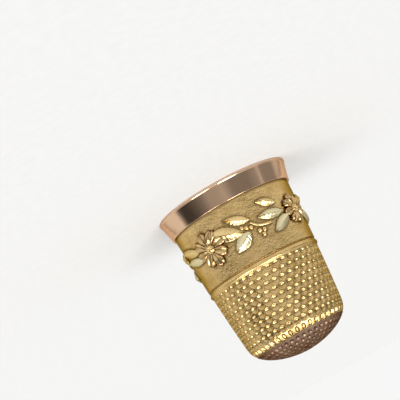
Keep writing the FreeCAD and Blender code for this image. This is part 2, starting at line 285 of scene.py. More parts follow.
class StudioSettings(bpy.types.PropertyGroup):
    """Where the camera stands, which way it looks, and its lens."""

    camera_place: FloatVectorProperty(
        name="Camera place", description="Where the camera stands", subtype="TRANSLATION", size=3,
        default=(0, -164.65 * MM, 30.17 * MM))
    camera_turn: FloatVectorProperty(
        name="Camera turn", description="Which way the camera looks and leans", subtype="EULER", size=3,
        default=[math.radians(angle) for angle in (-77.9314, -28.3812, 173.2269)])
    camera_lens: FloatProperty(
        name="Lens", description="Focal length of the camera in millimetres", default=119.07, min=10)


# ---------------------------------------------------------------- shape of the wall

def dome_radius(z, inset=0.0):
    """Radius of the domed end's section at a height, in millimetres."""
    share = min(1.0, max(0.0, (z - DOME_FOOT) / (DOME_RISE - inset)))
    lean = math.asin(share ** (1 / DOME_RISE_POWER))
    return (DOME_RADIUS - inset) * math.cos(lean) ** DOME_RADIUS_POWER


def wall_radius(z):
    """Outer radius of the plain wall at a height, in millimetres."""
    if z <= BORDER_TOP:
        return BORDER_FOOT_RADIUS - BORDER_SLOPE * (z - RIM_TOP)
    if z >= DOME_FOOT:
        return dome_radius(z)
    up = max(0.0, (z - KNURL_FOOT) / (DOME_FOOT - KNURL_FOOT))
    return DOME_RADIUS + KNURL_SLOPE * (DOME_FOOT - z) + KNURL_BULGE * math.sin(math.pi * up)


def down_the_dome(distance):
    """Height reached after walking down the dome from its tip, in millimetres."""
    z, walked, step = TIP, 0.0, 0.002
    while walked < distance:
        walked += math.hypot(step, dome_radius(z - step) - dome_radius(z))
        z -= step
    return z


# ---------------------------------------------------------------- modelling helpers

def nothing_selected():
    if bpy.context.object and bpy.context.object.mode != "OBJECT":
        bpy.ops.object.mode_set(mode="OBJECT")
    bpy.ops.object.select_all(action="DESELECT")


def only(obj):
    """Object mode, with this object the only one selected."""
    nothing_selected()
    obj.select_set(True)
    bpy.context.view_layer.objects.active = obj


def editing(obj, kind="VERT"):
    only(obj)
    bpy.ops.object.mode_set(mode="EDIT")
    bpy.ops.mesh.select_mode(type=kind)
    bpy.ops.mesh.select_all(action="DESELECT")


def pick(obj, test, kind="VERT"):
    """Select the vertices, edges or faces that pass the test and nothing else."""
    bpy.ops.mesh.select_mode(type=kind)
    bpy.ops.mesh.select_all(action="DESELECT")
    grid = bmesh.from_edit_mesh(obj.data)
    found = 0
    for part in {"VERT": grid.verts, "EDGE": grid.edges, "FACE": grid.faces}[kind]:
        if test(part):
            part.select = True
            found += 1
    grid.select_flush_mode()
    bmesh.update_edit_mesh(obj.data)
    return found


def apply_modifier(obj, name, kind, **settings):
    only(obj)
    made = obj.modifiers.new(name, kind)
    for key, value in settings.items():
        setattr(made, key, value)
    bpy.ops.object.modifier_apply(modifier=made.name)


def bake_place(obj):
    only(obj)
    bpy.ops.object.transform_apply(location=True, rotation=True, scale=True)


def ring(segments, radius, height):
    """A circle of vertices round the axis, in millimetres, as a new object left in edit mode."""
    nothing_selected()
    bpy.ops.mesh.primitive_circle_add(
        vertices=segments, radius=radius * MM, location=(0, 0, height * MM), enter_editmode=False)
    obj = bpy.context.object
    bake_place(obj)
    bpy.ops.object.mode_set(mode="EDIT")
    bpy.ops.mesh.select_mode(type="EDGE")
    bpy.ops.mesh.select_all(action="SELECT")
    return obj


def extrude_along(section, start):
    """Extrude the selected ring from one (radius, height) to the next, in millimetres."""
    radius, height = start
    for r, z in section:
        bpy.ops.mesh.extrude_region_move(TRANSFORM_OT_translate={"value": (0, 0, (z - height) * MM)})
        share = r / radius
        bpy.ops.transform.resize(value=(share, share, 1), center_override=(0, 0, 0))
        radius, height = r, z


def straight(p, q, steps):
    """Points from just after p to q, evenly spaced."""
    return [(p[0] + (q[0] - p[0]) * k / steps, p[1] + (q[1] - p[1]) * k / steps)
            for k in range(1, steps + 1)]


def bulge(p, q, proud, steps):
    """Points of a shallow arc from p to q standing out by `proud` in the middle."""
    return [(r + proud * math.sin(math.pi * k / steps), z)
            for k, (r, z) in enumerate(straight(p, q, steps), 1)]


def tree_of(spots):
    """A search tree over a list of points."""
    tree = KDTree(len(spots))
    for k, spot in enumerate(spots):
        tree.insert(spot, k)
    tree.balance()
    return tree


def radius_of(v):
    """Distance of a vertex from the axis, in millimetres."""
    return math.hypot(v.co.x, v.co.y) / MM


def press_pits(obj, percent, depth, edge):
    """Bevel the selected vertices into faces and press each into a round hollow with a soft edge.

    Gives back where the pits are.
    """
    centres = [v.co.copy() for v in bmesh.from_edit_mesh(obj.data).verts if v.select]
    bpy.ops.mesh.bevel(offset_type="PERCENT", offset_pct=percent, affect="VERTICES", segments=1)
    tree = tree_of(centres)
    pick(obj, lambda f: tree.find(f.calc_center_median())[2] < PIT_REACH * MM, "FACE")
    for width, share in ((edge, EDGE_SHARE), *PIT_STEPS):
        bpy.ops.mesh.inset(thickness=width * MM, depth=-share * depth, use_individual=True)
    bpy.ops.object.mode_set(mode="OBJECT")
    apply_modifier(obj, "Round", "SUBSURF", levels=1, render_levels=1)
    return tree


def trim(obj, height, **side):
    """Cut the whole mesh level at a height in millimetres and throw one side away."""
    bpy.ops.mesh.select_all(action="SELECT")
    bpy.ops.mesh.bisect(threshold=CUT_WIDTH, plane_co=(0, 0, height * MM), plane_no=(0, 0, 1), **side)


def open_edges(obj, low, high):
    """Select the open boundary edges between two heights, in millimetres."""
    pick(obj, lambda e: e.is_boundary and all(low * MM <= v.co.z <= high * MM for v in e.verts), "EDGE")


def edge_radius(obj, height, reach):
    """Select the open edges about a height and give back their (mean radius, height), in millimetres."""
    open_edges(obj, height - reach, height + reach)
    radii = [radius_of(v) for v in bmesh.from_edit_mesh(obj.data).verts if v.select]
    return sum(radii) / len(radii), height


def close_up():
    """Weld the whole mesh in edit mode and turn its faces outward."""
    bpy.ops.mesh.select_all(action="SELECT")
    bpy.ops.mesh.remove_doubles(threshold=WELD)
    bpy.ops.mesh.normals_make_consistent(inside=False)


def shade_attribute(obj, depth_at):
    """Store each vertex's painted shade, from 0 on the surface to 1 at the bottom of a hollow."""
    layer = obj.data.attributes.new("hollow", "FLOAT", "POINT")
    layer.data.foreach_set("value", [min(1.0, max(0.0, depth_at(v))) for v in obj.data.vertices])


def smooth(obj, degrees):
    only(obj)
    bpy.ops.object.shade_smooth_by_angle(angle=math.radians(degrees))


def finish_piece(obj, name, material, slot, *nodes):
    """Name the piece, give it its gold, hang it on the frame's root body and hide the frame's parts that it
    stands for.
    """
    nothing_selected()
    obj.name = name
    obj.data.name = name
    obj.data.materials.clear()
    obj.data.materials.append(material)
    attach(obj, "root")
    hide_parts(*nodes)
    return obj


# ---------------------------------------------------------------- golds

def gold(kind):
    """The gold of one kind, made on first use."""
    found = bpy.data.materials.get(kind)
    if found:
        return found
    look = dict(GOLDS[kind])
    return make_gold(kind, getattr(bpy.context.scene.thimble_colours, look.pop("tint")), **look)


def make_gold(name, colour, tarnish, rough, grain, grain_depth,
              shade_strength=0.0, scratch=0.0, mottle=0.25, edge=0.32):
    """Worn gold: patches of deeper tone, a punched or burnished grain, fine scratches, and painted shade
    where the hollow attribute is high.
    """
    made = bpy.data.materials.new(name)
    made.use_nodes = True
    tree = made.node_tree
    links, new = tree.links, tree.nodes.new
    shader = tree.nodes["Principled BSDF"]
    shader.inputs["Metallic"].default_value = 1.0
    shader.inputs["Specular Tint"].default_value = (*[edge * c + EDGE_LEAST for c in colour], 1)

    place = new("ShaderNodeTexCoord")

    def noise(size_mm, detail, roughness=0.5):
        made_noise = new("ShaderNodeTexNoise")
        made_noise.inputs["Scale"].default_value = 1 / (size_mm * MM)
        made_noise.inputs["Detail"].default_value = detail
        made_noise.inputs["Roughness"].default_value = roughness
        links.new(place.outputs["Object"], made_noise.inputs["Vector"])
        return made_noise.outputs["Fac"]

    def span(value, low, high, to_low, to_high):
        ranged = new("ShaderNodeMapRange")
        ranged.inputs["From Min"].default_value = low
        ranged.inputs["From Max"].default_value = high
        ranged.inputs["To Min"].default_value = to_low
        ranged.inputs["To Max"].default_value = to_high
        links.new(value, ranged.inputs["Value"])
        return ranged.outputs["Result"]

    def mixed(share, a, b):
        mixer = new("ShaderNodeMix")
        mixer.data_type = "RGBA"
        for socket, value in ((0, share), (6, a), (7, b)):
            if isinstance(value, bpy.types.NodeSocket):
                links.new(value, mixer.inputs[socket])
            else:
                mixer.inputs[socket].default_value = value if socket == 0 else (*value, 1)
        return mixer.outputs[2]

    patches = noise(PATCH_SIZE, 4)
    grit = noise(grain, 3, 0.6)
    tone = mixed(span(patches, 0.35, 0.7, 0.0, mottle * 2), colour, tarnish)
    tone = mixed(span(grit, 0.45, 0.62, mottle, 0.0), tone, tarnish)
    # Painted shade: the higher the hollow attribute, the more the tone is mixed towards a dark share of the
    # tarnish.
    if shade_strength:
        deep = new("ShaderNodeAttribute")
        deep.attribute_name = "hollow"
        shade_colour = tuple(c * SHADE_SHARE for c in tarnish)
        shade_amount = span(deep.outputs["Fac"], SHADE_START, SHADE_FULL, 0.0, SHADE_GAIN * shade_strength)
        tone = mixed(shade_amount, tone, shade_colour)
    links.new(tone, shader.inputs["Base Color"])

    haze = span(noise(HAZE_SIZE, 5, 0.65), 0.3, 0.7, rough * HAZE_LEAST, rough * HAZE_MOST)
    links.new(haze, shader.inputs["Roughness"])

    height = None
    if grain_depth:
        cells = new("ShaderNodeTexVoronoi")
        cells.inputs["Scale"].default_value = 1 / (grain * MM)
        links.new(place.outputs["Object"], cells.inputs["Vector"])
        height = new("ShaderNodeBump")
        height.inputs["Strength"].default_value = 1.0
        height.inputs["Distance"].default_value = grain_depth * MM
        links.new(cells.outputs["Distance"], height.inputs["Height"])
    if scratch:
        stretched = new("ShaderNodeMapping")
        stretched.inputs["Rotation"].default_value = SCRATCH_TURN
        stretched.inputs["Scale"].default_value = SCRATCH_STRETCH
        links.new(place.outputs["Object"], stretched.inputs["Vector"])
        lines = new("ShaderNodeTexNoise")
        lines.inputs["Scale"].default_value = 1 / (SCRATCH_SIZE * MM)
        lines.inputs["Detail"].default_value = 6
        links.new(stretched.outputs["Vector"], lines.inputs["Vector"])
        fine = new("ShaderNodeBump")
        fine.inputs["Strength"].default_value = 1.0
        fine.inputs["Distance"].default_value = scratch * MM
        links.new(lines.outputs["Fac"], fine.inputs["Height"])
        if height:
            links.new(height.outputs["Normal"], fine.inputs["Normal"])
        height = fine
    if height:
        links.new(height.outputs["Normal"], shader.inputs["Normal"])
    return made


# ---------------------------------------------------------------- floor and room

def pale_paper():
    """The floor's matt paper, with a faint fibre."""
    paper = bpy.data.materials.new("Pale paper")
    paper.use_nodes = True
    links, new = paper.node_tree.links, paper.node_tree.nodes.new
    shader = paper.node_tree.nodes["Principled BSDF"]
    shader.inputs["Roughness"].default_value = 0.85
    place = new("ShaderNodeTexCoord")
    fibre = new("ShaderNodeTexNoise")
    fibre.inputs["Scale"].default_value = 900
    ramp = new("ShaderNodeValToRGB")
    ramp.color_ramp.elements[0].color = PAPER_DARK
    ramp.color_ramp.elements[1].color = PAPER_LIGHT
    links.new(place.outputs["Object"], fibre.inputs["Vector"])
    links.new(fibre.outputs["Fac"], ramp.inputs["Fac"])
    links.new(ramp.outputs["Color"], shader.inputs["Base Color"])
    return paper


def studio_room():
    """A plain pale backdrop that polished metal sees as a room with bright and dark walls."""
    world = bpy.data.worlds.new("Studio")
    world.use_nodes = True
    nodes, links = world.node_tree.nodes, world.node_tree.links
    sky = nodes["Background"]
    sky.inputs["Strength"].default_value = 1.0

    def blend(share, a, b):
        mixer = nodes.new("ShaderNodeMix")
        mixer.data_type = "RGBA"
        links.new(share, mixer.inputs[0])
        for socket, value in ((6, a), (7, b)):
            if isinstance(value, bpy.types.NodeSocket):
                links.new(value, mixer.inputs[socket])
            else:
                mixer.inputs[socket].default_value = value
        return mixer.outputs[2]

    def share_between(value, low, high):
        ranged = nodes.new("ShaderNodeMapRange")
        ranged.inputs["From Min"].default_value = low
        ranged.inputs["From Max"].default_value = high
        links.new(value, ranged.inputs["Value"])
        return ranged.outputs["Result"]

    way = nodes.new("ShaderNodeTexCoord")
    turned = nodes.new("ShaderNodeMapping")
    turned.inputs["Rotation"].default_value = (0, 0, math.pi / 2)
    around = nodes.new("ShaderNodeTexGradient")
    around.gradient_type = "RADIAL"
    walls = nodes.new("ShaderNodeValToRGB")
    links.new(way.outputs["Generated"], turned.inputs["Vector"])
    links.new(turned.outputs["Vector"], around.inputs["Vector"])
    links.new(around.outputs["Fac"], walls.inputs["Fac"])
    stops = walls.color_ramp.elements
    while len(stops) > 1:
        stops.remove(stops[0])
    for k, (degrees, bright) in enumerate(ROOM):
        stop = stops[0] if k == 0 else stops.new(0.5 + degrees / 360)
        stop.position = 0.5 + degrees / 360
        stop.color = (*[bright * c for c in ROOM_TINT], 1)

    split = nodes.new("ShaderNodeSeparateXYZ")
    links.new(way.outputs["Generated"], split.inputs["Vector"])
    up = split.outputs["Z"]
    room = blend(share_between(up, 0.0, SKIRTING_TOP), SKIRTING_COLOUR, walls.outputs["Color"])
    room = blend(share_between(up, CEILING_LOW, CEILING_HIGH), room, CEILING_COLOUR)
    ray = nodes.new("ShaderNodeLightPath")
    links.new(blend(ray.outputs["Is Glossy Ray"], BACKDROP_COLOUR, room), sky.inputs["Color"])
    return world


# ---------------------------------------------------------------- the garland's shared shapes

def wall_point(angle, z, out=0.0):
    """Point on the wall, or `out` millimetres off it, in metres."""
    turn, r = math.radians(angle), wall_radius(z) + out
    return Vector((r * math.sin(turn), -r * math.cos(turn), z)) * MM


def seat_on_wall(obj, angle, z, sunk=0.04):
    """Take a piece modelled flat, face up at the origin, and curve it round the wall at its place."""
    only(obj)
    obj.rotation_euler = (math.pi / 2, 0, 0)
    bake_place(obj)
    apply_modifier(obj, "Curve round", "SIMPLE_DEFORM", deform_method="BEND", deform_axis="Z",
                   angle=obj.dimensions.x / (wall_radius(z) * MM))
    obj.location = wall_point(angle, z, -sunk)
    obj.rotation_euler = (-math.atan(BORDER_SLOPE), 0, math.radians(angle))
    bake_place(obj)


def own_copy(master, name):
    made = master.copy()
    made.data = master.data.copy()
    made.name = name
    bpy.context.collection.objects.link(made)
    return made


def remove(obj):
    mesh = obj.data
    bpy.data.objects.remove(obj)
    bpy.data.meshes.remove(mesh)


def join(objs):
    nothing_selected()
    for obj in objs:
        obj.select_set(True)
    bpy.context.view_layer.objects.active = objs[0]
    bpy.ops.object.join()
    return bpy.context.object


def round_the_garland(pieces):
    """For each piece of both halves: its number, its place in its half, the half's turn and its sizes."""
    for half, turn in enumerate(GARLAND_TURNS):
        for k, piece in enumerate(pieces, 1):
            yield half * len(pieces) + k, k, turn, piece


def thick_sheet(columns, rows):
    """A pad one millimetre square, and each vertex's (column, row, whether it is on top)."""
    nothing_selected()
    bpy.ops.mesh.primitive_grid_add(x_subdivisions=columns, y_subdivisions=rows, size=MM)
    pad = bpy.context.object
    bpy.ops.object.mode_set(mode="EDIT")
    bpy.ops.mesh.select_mode(type="FACE")
    bpy.ops.mesh.select_all(action="SELECT")
    bpy.ops.mesh.extrude_region_move(TRANSFORM_OT_translate={"value": (0, 0, SHEET * MM)})
    bpy.ops.mesh.select_all(action="SELECT")
    bpy.ops.mesh.normals_make_consistent(inside=False)
    layout = {
        v.index: (round((v.co.x / MM + 0.5) * columns), round((v.co.y / MM + 0.5) * rows),
                  v.co.z > SHEET / 2 * MM)
        for v in bmesh.from_edit_mesh(pad.data).verts}
    return pad, layout


def move(pad, layout, test, value):
    if pick(pad, lambda v: test(*layout[v.index])):
        bpy.ops.transform.translate(value=[c * MM for c in value])


def widen(pad, layout, test, share):
    if pick(pad, lambda v: test(*layout[v.index])):
        bpy.ops.transform.resize(value=(1, share, 1), center_override=(0, 0, 0))


def shade_near_wall(obj, low, high):
    """Mark painted shade on the piece near the wall: full up to `low` millimetres off the wall and none
    from `high`.
    """
    shade_attribute(obj, lambda v: 1 - (radius_of(v) - wall_radius(v.co.z / MM) - low) / (high - low))


def master_leaf():
    """Leaf one millimetre long and wide: raised midrib, slanting veins and a saw edge."""
    columns, rows = 14, 8
    leaf, layout = thick_sheet(columns, rows)
    for j in range(rows // 2 + 1):
        across = 1 - 2 * j / rows
        rise = LEAF_RISE * (1 - across) ** 0.75 - LEAF_EDGE_DROP
        move(leaf, layout, lambda i, r, top: top and r in (j, rows - j), (0, 0, rise))
        move(leaf, layout, lambda i, r, top: r in (j, rows - j), (VEIN_SLANT * across - 0.05, 0, 0))
    move(leaf, layout, lambda i, r, top: top and i % 2 and 0 < r < rows and r != rows // 2,
         (0, 0, -VEIN_DEPTH))
    for i in range(columns + 1):
        share = i / columns
        half = max(0.05, math.sin(math.pi * min(1.0, 0.10 + 0.90 * share) ** 0.85) ** 0.8)
        widen(leaf, layout, lambda c, r, top: c == i, half)
    widen(leaf, layout, lambda i, r, top: i % 2 == 0 and r in (0, rows), NOTCH_WIDTH)
    move(leaf, layout, lambda i, r, top: i % 2 and r in (0, rows), (TOOTH_LEAN, 0, 0))
    bpy.ops.object.mode_set(mode="OBJECT")
    apply_modifier(leaf, "Round", "SUBSURF", levels=1, render_levels=1)
    return leaf


def master_petal():
    """Petal one millimetre long, from its root at the origin: creased, arched and notched at the tip."""
    columns, rows = 7, 6
    petal, layout = thick_sheet(columns, rows)
    for i, (half, rise) in enumerate(zip(PETAL_HALVES, PETAL_RISES)):
        move(petal, layout, lambda c, r, top: top and c == i, (0, 0, rise))
        widen(petal, layout, lambda c, r, top: c == i, half)
    for j, rise in enumerate(PETAL_ROWS):
        move(petal, layout, lambda c, r, top: top and r in (j, rows - j) and 0 < c < columns, (0, 0, rise))
    move(petal, layout, lambda c, r, top: c == columns and r == rows // 2, (-PETAL_NOTCH, 0, 0))
    bpy.ops.mesh.select_all(action="SELECT")
    bpy.ops.transform.translate(value=(0.5 * MM, 0, 0))
    bpy.ops.object.mode_set(mode="OBJECT")
    apply_modifier(petal, "Round", "SUBSURF", levels=1, render_levels=1)
    return petal


# ---------------------------------------------------------------- pieces

class THIMBLE_OT_wall(bpy.types.Operator):
    """Model the wall: pitted zone, bead, groove, matted border and smooth inside"""

    bl_idname = "thimble.wall"
    bl_label = "Wall"

    def execute(self, context):
        sizes = context.scene.thimble_sizes
        rows = [(sizes.first_row + sizes.row_pitch * k) / MM for k in range(-1, sizes.pit_rows + 1)]
        seam, mouth, metal = sizes.seam_height / MM, sizes.mouth_radius / MM, sizes.metal / MM
        rim_top = sizes.rim_height / MM

        # rings half a step out of line with each other, cut into triangles with a vertex at each pit
        wall = ring(sizes.pits_per_row, wall_radius(rows[0]), rows[0])
        for k, (low, high) in enumerate(zip(rows, rows[1:])):
            extrude_along([(wall_radius(high), high)], (wall_radius(low), low))
            turn = math.pi / sizes.pits_per_row * (1 if k % 2 else -1)
            bpy.ops.transform.rotate(value=turn, orient_axis="Z", center_override=(0, 0, 0))
        bpy.ops.mesh.select_all(action="SELECT")
        bpy.ops.mesh.normals_make_consistent(inside=False)
        bpy.ops.mesh.quads_convert_to_tris(quad_method="SHORTEST_DIAGONAL")
        pick(wall, lambda v: rows[0] * MM + NEAR < v.co.z < rows[-1] * MM - NEAR)
        press_pits(wall, WALL_PIT_PERCENT, sizes.pit_depth, WALL_PIT_EDGE)

        # trim to the pitted zone, then carry the lower edge down, round the foot and up the inside
        editing(wall)
        trim(wall, TRIM_HEIGHT, clear_inner=True)
        trim(wall, seam, clear_outer=True)
        start = edge_radius(wall, TRIM_HEIGHT, 0.2)
        bead_top = (wall_radius(BEAD_TOP), BEAD_TOP)
        bead_foot = (wall_radius(BORDER_TOP) - BEAD_FOOT_INSET, BEAD_FOOT)
        groove_top = (wall_radius(BORDER_TOP) - GROOVE_TOP_INSET, GROOVE_TOP)
        border_top = (wall_radius(BORDER_TOP), BORDER_TOP)
        foot = (wall_radius(RIM_TOP), RIM_TOP)
        extrude_along([bead_top], start)
        bpy.ops.transform.tosphere(value=1, center_override=(0, 0, BEAD_TOP * MM))
        outside = bulge(bead_top, bead_foot, BEAD_PROUD, 10) + [groove_top]
        outside += bulge(groove_top, border_top, -GROOVE_DEPTH, 6) + straight(border_top, foot, 62)
        outside += [(SEAT_RADIUS, LIP_TOP)]
        inside = [(mouth, LIP_TOP), (mouth, STEP_IN), (mouth, RIM_TOP)]
        inside += straight((mouth, RIM_TOP), (wall_radius(SHOULDER) - metal, SHOULDER), 8)
        inside += [(wall_radius(SHOULDER_IN) - metal, SHOULDER_IN)]
        inside += [(dome_radius(z, metal), z) for z in (SHOULDER_TOP, seam)]
        extrude_along(outside + inside, bead_top)
        bpy.ops.mesh.select_mode(type="EDGE")
        open_edges(wall, seam - 0.05, seam + 0.05)
        bpy.ops.mesh.bridge_edge_loops()
        close_up()

        # punched grain on the border
        wall.vertex_groups.new(name="border")
        pick(wall, lambda v: MATTING_LOW < v.co.z / MM < MATTING_HIGH and radius_of(v) > MATTING_INSIDE)
        bpy.ops.object.vertex_group_assign()
        bpy.ops.object.mode_set(mode="OBJECT")
        grain = bpy.data.textures.new("Matting", "VORONOI")
        grain.noise_scale = MATTING_SIZE * MM
        grain.noise_intensity = 1.2
        apply_modifier(wall, "Matting", "DISPLACE", texture=grain, vertex_group="border",
                       texture_coords="LOCAL", mid_level=0.6, strength=sizes.matting)

        def depth(v):
            """Painted shade in the corner on the rim band, in the groove and matting, and in the pits."""
            z, r = v.co.z / MM, radius_of(v)
            sunk = wall_radius(z) - r
            if sunk > 0.35 or z > seam - 0.01:
                return 0
            if z < CORNER_TOP:
                uneven = 0.15 * math.sin(9 * math.atan2(v.co.y, v.co.x))
                return 1.6 * (1 - (z - rim_top) / CORNER_FADE) + uneven
            if z < (GROOVE_TOP + BEAD_FOOT) / 2:
                return 30 * (sunk - 0.03)
            return (sunk - 0.02) / (sizes.pit_depth / MM)

        shade_attribute(wall, depth)
        smooth(wall, 55)
        finish_piece(wall, "Wall", gold("Yellow gold"), "yellow_gold", "body")
        return {"FINISHED"}


class THIMBLE_OT_end_cap(bpy.types.Operator):
    """Model the pitted end cap"""

    bl_idname = "thimble.end_cap"
    bl_label = "End cap"

    def execute(self, context):
        sizes = context.scene.thimble_sizes
        seam, metal, pitch = sizes.seam_height / MM, sizes.metal / MM, sizes.cap_pitch / MM

        # a middle vertex and rings of 6, 12, 18 ... vertices, joined ring to ring by triangles
        nothing_selected()
        heights = [down_the_dome(pitch * k) for k in range(1, sizes.cap_rings + 2)]
        bpy.ops.mesh.primitive_circle_add(
            vertices=6, radius=dome_radius(heights[0]) * MM, fill_type="TRIFAN", enter_editmode=False,
            location=(0, 0, heights[0] * MM))
        cap = bpy.context.object
        bake_place(cap)
        editing(cap)
        pick(cap, lambda v: radius_of(v) < 0.1)
        bpy.ops.transform.translate(value=(0, 0, (TIP - heights[0]) * MM))
        for k, height in enumerate(heights[1:], 2):
            bpy.ops.mesh.select_all(action="DESELECT")
            bpy.ops.mesh.primitive_circle_add(
                vertices=6 * k, radius=dome_radius(height) * MM, location=(0, 0, height * MM),
                rotation=(0, 0, math.pi / (6 * k) * (k % 2)))
            low, high = height * MM - LEVEL, heights[k - 2] * MM + LEVEL
            pick(cap, lambda e: all(low < v.co.z < high for v in e.verts)
                 and abs(e.verts[0].co.z - e.verts[1].co.z) < LEVEL, "EDGE")
            bpy.ops.mesh.bridge_edge_loops()
        bpy.ops.mesh.select_all(action="SELECT")
        bpy.ops.mesh.quads_convert_to_tris(quad_method="SHORTEST_DIAGONAL")
        bpy.ops.mesh.beautify_fill(angle_limit=math.pi)
        bpy.ops.mesh.normals_make_consistent(inside=False)
        pick(cap, lambda v: v.co.z > heights[-1] * MM + NEAR)
        pits = press_pits(cap, CAP_PIT_PERCENT, sizes.pit_depth * CAP_PIT_SHARE, CAP_PIT_EDGE)

        editing(cap)
        trim(cap, seam, clear_inner=True)
        start = edge_radius(cap, seam, 0.1)
        extrude_along([(dome_radius(z, metal), z) for z in (seam, *CAP_INSIDE)], start)
        bpy.ops.mesh.edge_face_add()
        close_up()
        bpy.ops.object.mode_set(mode="OBJECT")

        def depth(v):
            """Painted shade in the pits."""
            return 1.25 - pits.find(v.co)[2] / (CAP_PIT_RADIUS * MM) if v.co.z > seam * MM + NEAR else 0

        shade_attribute(cap, depth)
        smooth(cap, 55)
        finish_piece(cap, "End_cap", gold("Worn rose gold"), "rose_gold", "end_cap")
        return {"FINISHED"}


class THIMBLE_OT_rim_band(bpy.types.Operator):
    """Model the polished rim band"""

    bl_idname = "thimble.rim_band"
    bl_label = "Rim band"

    def execute(self, context):
        sizes = context.scene.thimble_sizes
        foot, top = sizes.rim_foot_radius / MM, sizes.rim_top_radius / MM
        height, mouth = sizes.rim_height / MM, sizes.mouth_radius / MM
        first = (BORDER_FOOT_RADIUS, height - 0.005)
        section = [(RIM_SEAT_RADIUS, height)] + [(top - a, height - b) for a, b in RIM_TOP_ROUND]
        section += bulge(section[-1], (foot - 0.085, 0.40), -RIM_HOLLOW, 12)
        section += [(foot - a, b) for a, b in RIM_FOOT_ROUND] + [(SEAT_RADIUS, 0.0)]
        section += [(mouth + a, b) for a, b in RIM_MOUTH_ROUND] + [(mouth, LIP_TOP), (SEAT_RADIUS, LIP_TOP)]
        band = ring(RIM_SEGMENTS, *first)
        extrude_along(section, first)
        pick(band, lambda e: e.is_boundary, "EDGE")
        bpy.ops.mesh.bridge_edge_loops()
        bpy.ops.mesh.select_all(action="SELECT")
        bpy.ops.mesh.normals_make_consistent(inside=False)
        bpy.ops.object.mode_set(mode="OBJECT")
        smooth(band, 40)
        finish_piece(band, "Rim_band", gold("Polished rose gold"), "rose_gold", "rim_band")
        return {"FINISHED"}


class THIMBLE_OT_flowers(bpy.types.Operator):
    """Model the applied flower rosettes"""

    bl_idname = "thimble.flowers"
    bl_label = "Flowers"

    def execute(self, context):
        petal = master_petal()
        for number, k, turn, (angle, z, radius) in round_the_garland(FLOWERS):
            petals = []
            for n in range(PETALS):
                one = own_copy(petal, "Petal")
                only(one)
                size = 1 - 0.05 * (n % 2) - 0.03 * math.sin(2.3 * n + k)
                one.scale = ((radius - PETAL_START) * size, PETAL_WIDTH * radius, 1.2 + 0.15 * (n % 2))
                one.rotation_euler = (0, 0, FULL_TURN * (n + 0.25) / PETALS)
                one.location = Vector((PETAL_START, 0, 0)) * MM
                one.location.rotate(one.rotation_euler)
                bake_place(one)
                petals.append(one)
            flower = join(petals)
            seat_on_wall(flower, angle + turn, z)
            shade_near_wall(flower, 0.10, 0.56)
            smooth(flower, 50)
            finish_piece(flower, "Flower_%d" % number, gold("Rosy applied gold"),
                         "rose_gold", "flower_%d" % number)
        remove(petal)
        return {"FINISHED"}


class THIMBLE_OT_flower_centres(bpy.types.Operator):
    """Model the granulated bosses in the middle of the flowers"""

    bl_idname = "thimble.flower_centres"
    bl_label = "Flower centres"

    def execute(self, context):
        nothing_selected()
        bpy.ops.mesh.primitive_uv_sphere_add(segments=24, ring_count=14, radius=BOSS_RADIUS * MM)
        dome = bpy.context.object
        dome.scale = (1, 1, BOSS_FLATNESS)
        bake_place(dome)
        editing(dome)
        trim(dome, 0, clear_inner=True, use_fill=True)
        nothing_selected()
        bpy.ops.mesh.primitive_ico_sphere_add(subdivisions=2, radius=GRAIN_RADIUS * MM)
        grain = bpy.context.object
        grain.scale = (1, 1, GRAIN_FLATNESS)
        bake_place(grain)
        beads, golden = [], math.pi * (3 - math.sqrt(5))
        for n in range(GRAINS):
            up = 1 - GRAIN_SPREAD * (n + 0.4) / GRAINS
            out = GRAIN_ORBIT * math.sqrt(1 - up * up)
            bead = own_copy(grain, "Grain")
            x, y = out * math.cos(golden * n), out * math.sin(golden * n)
            bead.location = Vector((x, y, GRAIN_TOP * up)) * MM
            bake_place(bead)
            beads.append(bead)
        boss = join([dome, *beads])
        remove(grain)
        for number, _, turn, (angle, z, _) in round_the_garland(FLOWERS):
            centre = own_copy(boss, "Centre")
            seat_on_wall(centre, angle + turn, z)
            shade_near_wall(centre, 0.15, 0.72)
            smooth(centre, 50)
            finish_piece(centre, "Flower_centre_%d" % number, gold("Bright applied gold"),
                         "yellow_gold", "flower_centre_%d" % number)
        remove(boss)
        return {"FINISHED"}


class THIMBLE_OT_leaves(bpy.types.Operator):
    """Model the applied leaves"""

    bl_idname = "thimble.leaves"
    bl_label = "Leaves"

    def execute(self, context):
        master = master_leaf()
        for number, k, turn, (angle0, z0, angle1, z1, width) in round_the_garland(LEAVES):
            angle, z = (angle0 + angle1) / 2, (z0 + z1) / 2
            run = 2 * wall_radius(z) * math.radians(angle1 - angle)
            long = math.hypot(run, z1 - z0)
            leaf = own_copy(master, "Leaf")
            leaf.scale = (LEAF_SCALE[0] * long, LEAF_SCALE[1] * width, LEAF_SCALE[2])
            bake_place(leaf)
            leaf.rotation_euler = (0, 0, math.atan2(z1 - z0, run))
            bake_place(leaf)
            seat_on_wall(leaf, angle + turn, z)
            shade_near_wall(leaf, 0.05, 0.36)
            smooth(leaf, 50)
            kind, slot = (("Pale applied gold", "green_gold") if k in PALE_LEAVES
                          else ("Bright applied gold", "yellow_gold"))
            finish_piece(leaf, "Leaf_%02d" % number, gold(kind), slot, "leaf_%02d" % number)
        remove(master)
        return {"FINISHED"}


